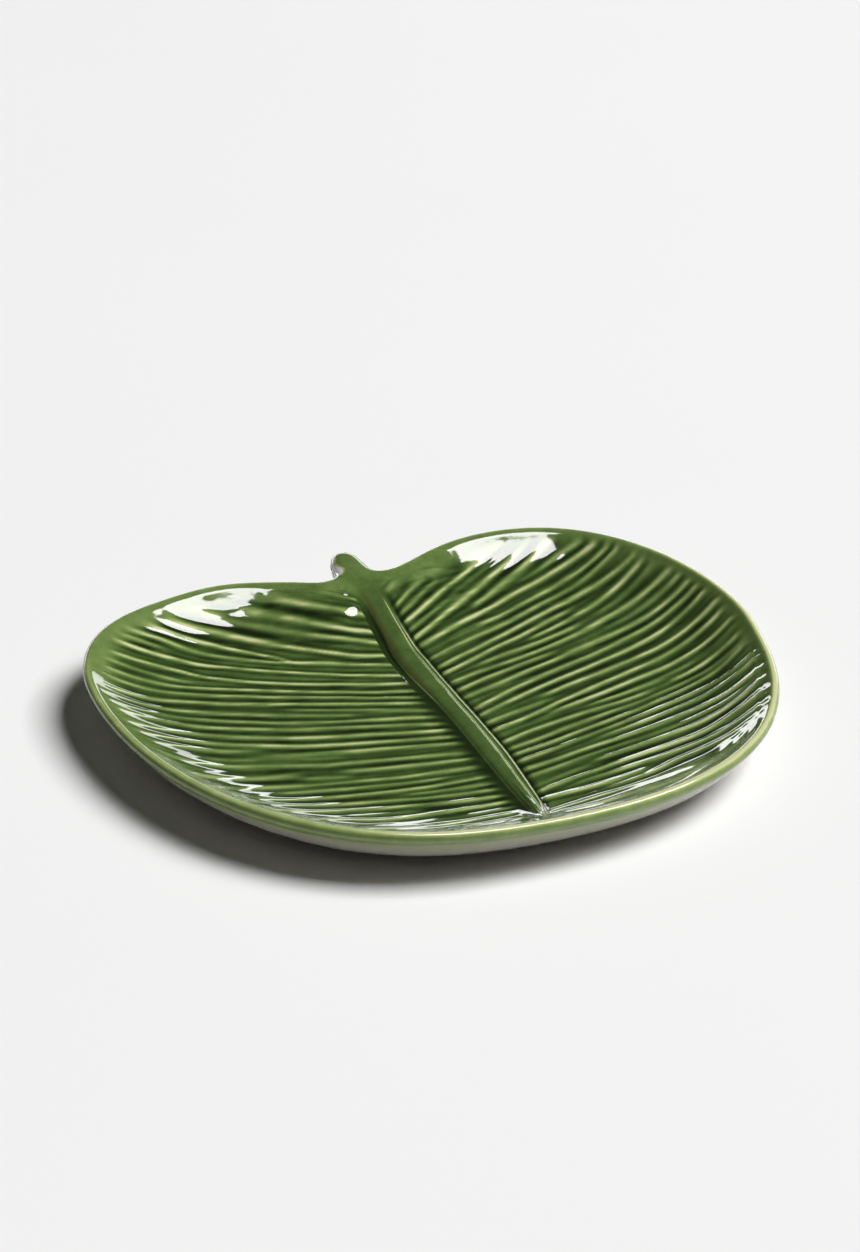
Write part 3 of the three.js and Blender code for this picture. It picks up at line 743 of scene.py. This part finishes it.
# ---- clay under the glaze ----
blade_edge, blade_length = closed_curve(blade_points, 480)
blade_in = inward(blade_edge)


def blade_ring(inset, z):
    """Ring at an inset from the blade's rim: by the normal near the rim, towards the middle farther in."""
    near = min(inset, 20.0)
    p = blade_edge + blade_in * near
    if inset > near:
        r = np.linalg.norm(p, axis=1)[:, None]
        p = p * (1 - (inset - near) / r)
    return np.c_[p, np.full(len(p), z)]


def body_piece():
    rings = []
    floor_z = float(wall_top(60.0)) - 2.9
    for d in (92, 70, 50, 40, 32, 25, 19, 14, 10, 7):
        rings.append(blade_ring(d, float(wall_top(d)) - 2.9))
    r = LIP_R - 0.45
    for a in (-30, 0, 30, 60, 90, 105, 119):
        t = math.radians(a)
        rings.append(blade_ring(0.45 + r * (1 - math.sin(t)), H - LIP_R + r * math.cos(t)))
    d1 = 0.3 + LIP_R * (1 - math.cos(LIP_DOWN))
    z1 = H - LIP_R - LIP_R * math.sin(LIP_DOWN)
    for d in (0.4, 1.0, 1.8, 2.8, 4.2, 6.0, 8.2, 11, 14, 17.5, 21.5, 25.5, 29):
        u = d / OUTER_WALL
        rings.append(blade_ring(d1 + d, z1 - (z1 - BASE_Z) * (1 - (1 - u) ** OUTER_POWER)))
    for d in (34, 40, 50, 58, 70, 92):
        rings.append(blade_ring(d, BASE_Z))
    n = len(blade_edge)
    verts = np.vstack(rings)
    verts[:, 2] += np.where(verts[:, 2] < H - 5, 0.05 * value_noise(verts[:, 0] / 12, verts[:, 1] / 12, 21), 0)
    # the clay under the stalk's root stays below the glaze
    x, y = verts[:, 0], verts[:, 1]
    cap = base_top(x, y, rim_distance(x, y)) - 1.4
    verts[:, 2] -= smooth(0.0, 0.15, stalk_share(x, y)) * np.maximum(verts[:, 2] - cap, 0)
    faces = ring_faces(len(rings), n)
    top, bottom = len(verts), len(verts) + 1
    verts = np.vstack([verts, [[0, 0, floor_z], [0, 0, BASE_Z]]])
    last = (len(rings) - 1) * n
    for j in range(n):
        k = (j + 1) % n
        faces.append((k, j, top))
        faces.append((last + j, last + k, bottom))
    obj = make_piece("leaf_body_clay", verts, faces)
    fix_normals(obj)
    return obj


def stalk_piece():
    ys = np.r_[np.linspace(86, 98, 7), np.linspace(99.5, 121.2, 26)]
    rows = []
    sections = 28
    for y in ys:
        near = np.abs(edge[:, 1] - y) < 0.25
        xs = edge[near & (np.abs(edge[:, 0]) < 16), 0]
        if y < 99.0 or len(xs) < 2:
            xl, xr = -8.4, 8.9
        else:
            xl, xr = xs.min(), xs.max()
        w = np.interp(y, [86, 92, 99, 101], [6.2, 7.2, 7.6, 9.0])
        xl, xr = max(xl + 0.35, 0.6 - w), min(xr - 0.35, 0.6 + w)
        xm, hw = (xl + xr) / 2, (xr - xl) / 2
        zt = np.interp(y, [86, 92, 98, 102, 112, 118, 121.2], [15.6, 17.8, 20.0, 21.6, 21.9, 21.5, 20.7])
        zb = np.interp(y, [86, 98, 110, 115, 119, 121.2], [11.5, 13.0, 13.4, 14.0, 15.6, 17.4])
        zm, hz = (zt + zb) / 2, (zt - zb) / 2
        a = 2 * np.pi * (np.arange(sections) + 0.5) / sections
        ca, sa = np.cos(a), np.sin(a)
        rows.append(np.c_[
            xm + hw * np.sign(ca) * np.abs(ca) ** 0.7, np.full(sections, y),
            zm + hz * np.sign(sa) * np.abs(sa) ** 0.7,
        ])
    verts = np.vstack(rows)
    faces = ring_faces(len(rows), sections)
    a, b = len(verts), len(verts) + 1
    verts = np.vstack([verts, rows[0].mean(0)[None], rows[-1].mean(0)[None] + [0, 0.35, 0]])
    last = (len(rows) - 1) * sections
    for j in range(sections):
        k = (j + 1) % sections
        faces.append((k, j, a))
        faces.append((last + j, last + k, b))
    obj = make_piece("stalk_clay", verts, faces)
    fix_normals(obj)
    return obj


def rib_piece():
    ys = np.linspace(68, -109, 90)
    q = np.array([-1.25, -1.1, -0.92, -0.7, -0.4, 0, 0.4, 0.7, 0.92, 1.1, 1.25])
    rows = []
    for y in ys:
        cx, hw = float(centre_x(y)), float(rib_half(y))
        base = float(base_top(cx, y, rim_distance(np.array(cx), np.array(y))))
        top = base - 1.45 + rib_section(q) * float(groove_fade(y))
        low = np.minimum(top - 0.25, base - 2.4)
        rows.append(np.vstack([np.c_[cx + q * hw, np.full(len(q), y), top], np.c_[cx + q[::-1] * hw, np.full(len(q), y), low[::-1]]]))
    n = len(rows[0])
    verts = np.vstack(rows)
    faces = ring_faces(len(rows), n)
    a, b = len(verts), len(verts) + 1
    verts = np.vstack([verts, rows[0].mean(0)[None], rows[-1].mean(0)[None]])
    last = (len(rows) - 1) * n
    for j in range(n):
        k = (j + 1) % n
        faces.append((k, j, a))
        faces.append((last + j, last + k, b))
    obj = make_piece("midrib_clay", verts, faces)
    fix_normals(obj)
    return obj


def foot_piece():
    top, w = BASE_Z - 0.02, FOOT_WIDTH
    profile = [(w * 0.5, 0.0), (1.9, 0.0), (1.1, 0.12), (0.55, 0.45), (0.3, 1.0), (0.15, 2.0), (0.0, 2.9), (-0.5, top)]
    profile += [(w + 0.5, top), (w, 2.9), (w - 0.15, 2.0), (w - 0.3, 1.0), (w - 0.55, 0.45), (w - 1.1, 0.12), (w - 1.9, 0.0)]
    rings = [blade_ring(FOOT_OUT + d, z) for d, z in profile]
    verts = np.vstack(rings)
    faces = ring_faces(len(rings), len(blade_edge), True)
    obj = make_piece("foot_ring_clay", verts, faces)
    fix_normals(obj)
    return obj


# ---- materials ----
def srgb(r, g, b):
    f = lambda c: (c / 255 / 12.92) if c / 255 <= 0.04045 else ((c / 255 + 0.055) / 1.055) ** 2.4
    return (f(r), f(g), f(b), 1.0)


def new_material(name):
    m = bpy.data.materials.new(name)
    m.use_nodes = True
    nodes, links = m.node_tree.nodes, m.node_tree.links
    return m, nodes, links, nodes["Principled BSDF"]


def noise_node(nodes, links, coords, scale, detail=3.0, rough=0.55):
    n = nodes.new("ShaderNodeTexNoise")
    n.inputs["Scale"].default_value = scale
    n.inputs["Detail"].default_value = detail
    n.inputs["Roughness"].default_value = rough
    links.new(coords, n.inputs["Vector"])
    return n.outputs["Fac"]


def math_node(nodes, links, op, a, b, clamp=False):
    n = nodes.new("ShaderNodeMath")
    n.operation = op
    n.use_clamp = clamp
    for k, v in enumerate((a, b)):
        if isinstance(v, (int, float)):
            n.inputs[k].default_value = v
        else:
            links.new(v, n.inputs[k])
    return n.outputs[0]


def ramp_node(nodes, links, fac, stops):
    n = nodes.new("ShaderNodeValToRGB")
    n.color_ramp.interpolation = "EASE" if len(stops) == 2 else "LINEAR"
    els = n.color_ramp.elements
    while len(els) < len(stops):
        els.new(0.5)
    for e, (p, c) in zip(els, stops):
        e.position, e.color = p, c
    links.new(fac, n.inputs["Fac"])
    return n.outputs["Color"]


def mix_colour(nodes, links, fac, a, b):
    n = nodes.new("ShaderNodeMix")
    n.data_type = "RGBA"
    links.new(fac, n.inputs["Factor"])
    for sock, v in ((n.inputs[6], a), (n.inputs[7], b)):
        if isinstance(v, tuple):
            sock.default_value = v
        else:
            links.new(v, sock)
    return n.outputs[2]


def attribute(nodes, name):
    n = nodes.new("ShaderNodeAttribute")
    n.attribute_type = "GEOMETRY"
    n.attribute_name = name
    return n.outputs["Fac"]


def object_coords(nodes):
    return nodes.new("ShaderNodeTexCoord").outputs["Object"]


def add_bump(nodes, links, bsdf, height, strength, distance):
    n = nodes.new("ShaderNodeBump")
    n.inputs["Strength"].default_value = strength
    n.inputs["Distance"].default_value = distance
    links.new(height, n.inputs["Height"])
    links.new(n.outputs["Normal"], bsdf.inputs["Normal"])


def glaze_material():
    m, nodes, links, bsdf = new_material("green_glaze")
    co = object_coords(nodes)
    wide = noise_node(nodes, links, co, 90.0, 3.0)
    fine = noise_node(nodes, links, co, 520.0, 4.0, 0.6)
    t = attribute(nodes, "tone")
    t = math_node(nodes, links, "ADD", t, math_node(nodes, links, "MULTIPLY", math_node(nodes, links, "SUBTRACT", wide, 0.5), 0.26))
    t = math_node(nodes, links, "ADD", t, math_node(nodes, links, "MULTIPLY", math_node(nodes, links, "SUBTRACT", fine, 0.5), 0.12), True)
    colour = ramp_node(nodes, links, t, [
        (0.0, srgb(26, 37, 15)), (0.16, srgb(40, 56, 24)), (0.34, srgb(59, 81, 37)), (0.50, srgb(84, 108, 54)),
        (0.68, srgb(118, 140, 79)), (0.84, srgb(158, 174, 108)), (1.0, srgb(205, 207, 157)),
    ])
    # olive-brown colour of the painted shade on the crown's left flank
    flank_shade_colour = mix_colour(nodes, links, fine, srgb(70, 73, 34), srgb(92, 95, 48))
    colour = mix_colour(nodes, links, math_node(nodes, links, "MULTIPLY", attribute(nodes, "olive"), 0.6), colour, flank_shade_colour)
    # pale colour of the bare clay on the stalk's flank, also used for the ledge's painted highlight line
    pale = mix_colour(nodes, links, fine, srgb(196, 192, 190), srgb(214, 211, 208))
    colour = mix_colour(nodes, links, attribute(nodes, "bare"), colour, pale)
    links.new(colour, bsdf.inputs["Base Color"])
    rough = math_node(nodes, links, "ADD", 0.035, math_node(nodes, links, "MULTIPLY", wide, 0.05))
    links.new(rough, bsdf.inputs["Roughness"])
    bsdf.inputs["IOR"].default_value = 1.52
    add_bump(nodes, links, bsdf, noise_node(nodes, links, co, 300.0, 2.0), 0.05, 0.0004)
    return m


def clear_glaze_material():
    m, nodes, links, bsdf = new_material("clear_glazed_clay")
    co = object_coords(nodes)
    sep = nodes.new("ShaderNodeSeparateXYZ")
    links.new(co, sep.inputs[0])
    wide = noise_node(nodes, links, co, 55.0, 3.0)
    fine = noise_node(nodes, links, co, 420.0, 4.0, 0.65)
    z = math_node(nodes, links, "MULTIPLY", sep.outputs["Z"], 1000.0 / H)
    z = math_node(nodes, links, "ADD", z, math_node(nodes, links, "MULTIPLY", math_node(nodes, links, "SUBTRACT", wide, 0.5), 0.16))
    # green glaze wash towards the lip, and painted shade: the clay a little darker at the very bottom of the wall
    wash_and_low_shade = ramp_node(nodes, links, z, [
        (0.0, srgb(168, 164, 151)), (0.52, srgb(174, 172, 160)), (0.70, srgb(160, 164, 136)), (0.82, srgb(138, 152, 106)), (1.0, srgb(116, 136, 80)),
    ])
    speck = ramp_node(nodes, links, fine, [(0.0, (0.86, 0.85, 0.83, 1)), (1.0, (1.0, 1.0, 1.0, 1))])
    n = nodes.new("ShaderNodeMix")
    n.data_type, n.blend_type = "RGBA", "MULTIPLY"
    n.inputs["Factor"].default_value = 1.0
    links.new(wash_and_low_shade, n.inputs[6])
    links.new(speck, n.inputs[7])
    links.new(n.outputs[2], bsdf.inputs["Base Color"])
    links.new(math_node(nodes, links, "ADD", 0.10, math_node(nodes, links, "MULTIPLY", wide, 0.10)), bsdf.inputs["Roughness"])
    bsdf.inputs["IOR"].default_value = 1.5
    add_bump(nodes, links, bsdf, wide, 0.08, 0.0006)
    return m


def clay_material(name, light, dark, rough, scale):
    m, nodes, links, bsdf = new_material(name)
    co = object_coords(nodes)
    grain = noise_node(nodes, links, co, scale, 6.0, 0.7)
    wide = noise_node(nodes, links, co, 60.0, 3.0)
    both = math_node(nodes, links, "ADD", math_node(nodes, links, "MULTIPLY", grain, 0.55), math_node(nodes, links, "MULTIPLY", wide, 0.45))
    links.new(ramp_node(nodes, links, both, [(0.25, dark), (0.75, light)]), bsdf.inputs["Base Color"])
    links.new(math_node(nodes, links, "ADD", rough, math_node(nodes, links, "MULTIPLY", grain, 0.12)), bsdf.inputs["Roughness"])
    bsdf.inputs["IOR"].default_value = 1.5
    add_bump(nodes, links, bsdf, grain, 0.2, 0.0003)
    return m


# ---- the plate ----
glaze, grids = glaze_piece()
fix_normals(glaze)
body, stalk, rib, foot = body_piece(), stalk_piece(), rib_piece(), foot_piece()
for piece, node, slot, material in (
    (glaze, "green_glaze", "green_glaze", glaze_material()),
    (body, "leaf_body", "clear_glazed_clay", clear_glaze_material()),
    (stalk, "stalk", "stalk_clay", clay_material("stalk_clay", srgb(212, 208, 206), srgb(184, 180, 178), 0.12, 500.0)),
    (rib, "midrib", "covered_clay", clay_material("covered_clay", srgb(226, 220, 208), srgb(200, 192, 178), 0.7, 700.0)),
    (foot, "foot_ring", "bare_clay", clay_material("bare_clay", srgb(222, 212, 194), srgb(190, 178, 158), 0.75, 800.0)),
):
    piece.data.materials.append(material)
    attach(piece, "root")
    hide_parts(node)

# ---- camera ----
TURN = math.radians(-24.7)
RIGHT = Vector((math.cos(TURN), math.sin(TURN), 0))
BACK = Vector((-math.sin(TURN), math.cos(TURN), 0))
UP = Vector((0, 0, 1))
aim = Vector(((8.92 + SHIFT[0]) * MM, (41.4 + SHIFT[1]) * MM, H * MM))
tilt, reach = math.radians(27.0), 2800 * 0.41 * MM
cam_data = bpy.data.cameras.new("camera")
cam_data.sensor_width = 36.0
cam_data.lens = 2800 * 36.0 / 1252
cam_data.clip_start, cam_data.clip_end = 0.01, 100.0
camera = bpy.data.objects.new("camera", cam_data)
bpy.context.scene.collection.objects.link(camera)
camera.location = aim - (BACK * math.cos(tilt) - UP * math.sin(tilt)) * reach
camera.rotation_mode = "QUATERNION"
camera.rotation_quaternion = (aim - camera.location).to_track_quat("-Z", "Y")
bpy.context.scene.camera = camera
bpy.context.scene.view_settings.view_transform = "Standard"
bpy.context.scene.view_settings.look = "None"


# ---- light and floor ----
def area_light(name, azimuth, elevation, distance, width, height, radiance, diffuse=True, glossy=True):
    """Rectangular soft light. Azimuth is measured from straight behind the plate towards the right."""
    a, e = math.radians(azimuth), math.radians(elevation)
    flat = BACK * math.cos(a) + RIGHT * math.sin(a)
    way = flat * math.cos(e) + UP * math.sin(e)
    side = UP.cross(flat).normalized()
    rise = way.cross(side)
    data = bpy.data.lights.new(name, "AREA")
    data.shape = "RECTANGLE"
    data.size, data.size_y = width, height
    data.energy = radiance * math.pi * width * height
    lamp = bpy.data.objects.new(name, data)
    bpy.context.scene.collection.objects.link(lamp)
    lamp.location = way * distance
    lamp.rotation_mode = "QUATERNION"
    lamp.rotation_quaternion = Matrix((side, rise, way)).transposed().to_quaternion()
    lamp.visible_camera = False
    lamp.visible_diffuse, lamp.visible_glossy = diffuse, glossy
    return lamp


area_light("key_softbox", 88, 54, 25.0, 12.5, 12.5, 16.1, glossy=False)
window = area_light("window_softbox", 65, 71.5, 10.0, 2.7, 8.0, 17.0, diffuse=False)
window.data.color = (1.0, 0.955, 1.0)
area_light("back_strip", 0, 6.1, 9.0, 12.0, 1.4, 3.0, diffuse=False)
area_light("left_strip", -17, 6.1, 9.0, 7.0, 1.3, 1.3, diffuse=False)

world = bpy.data.worlds.new("studio")
bpy.context.scene.world = world
world.use_nodes = True
wn, wl = world.node_tree.nodes, world.node_tree.links
direction = wn.new("ShaderNodeTexCoord").outputs["Generated"]
sep = wn.new("ShaderNodeSeparateXYZ")
wl.new(direction, sep.inputs[0])
sky = wn.new("ShaderNodeValToRGB")
sky.color_ramp.elements[0].position, sky.color_ramp.elements[0].color = 0.04, (0.086, 0.08, 0.081, 1)
sky.color_ramp.elements[1].position, sky.color_ramp.elements[1].color = 0.24, (0.032, 0.031, 0.030, 1)
wl.new(sep.outputs["Z"], sky.inputs["Fac"])
seen = wn.new("ShaderNodeMix")
seen.data_type = "RGBA"
wl.new(wn.new("ShaderNodeLightPath").outputs["Is Camera Ray"], seen.inputs["Factor"])
wl.new(sky.outputs["Color"], seen.inputs[6])
seen.inputs[7].default_value = (0.90, 0.90, 0.90, 1)  # the pale backdrop, seen straight but not lighting the plate
wl.new(seen.outputs[2], wn["Background"].inputs["Color"])
wn["Background"].inputs["Strength"].default_value = 1.0

rings, spokes = (0.0, 0.6, 1.5, 3.5, 7.0, 14.0), 96
fv, ff = [(0, 0, 0)], []
for r in rings[1:]:
    fv += [(r * math.cos(2 * math.pi * k / spokes), r * math.sin(2 * math.pi * k / spokes), 0) for k in range(spokes)]
for k in range(spokes):
    ff.append((0, 1 + k, 1 + (k + 1) % spokes))
for i in range(len(rings) - 2):
    for k in range(spokes):
        a, b = 1 + i * spokes + k, 1 + i * spokes + (k + 1) % spokes
        ff.append((a, a + spokes, b + spokes, b))
floor_mesh = bpy.data.meshes.new("floor")
floor_mesh.from_pydata(fv, [], ff)
floor_mesh.update()
floor = bpy.data.objects.new("floor", floor_mesh)
bpy.context.scene.collection.objects.link(floor)
fm, fn, fl, fb = new_material("floor_paper")
paper = noise_node(fn, fl, object_coords(fn), 3.0, 2.0)
fl.new(ramp_node(fn, fl, paper, [(0.0, (0.895, 0.895, 0.895, 1)), (1.0, (0.905, 0.905, 0.905, 1))]), fb.inputs["Base Color"])
fb.inputs["Roughness"].default_value = 0.9
fb.inputs["Specular IOR Level"].default_value = 0.0
floor_mesh.materials.append(fm)
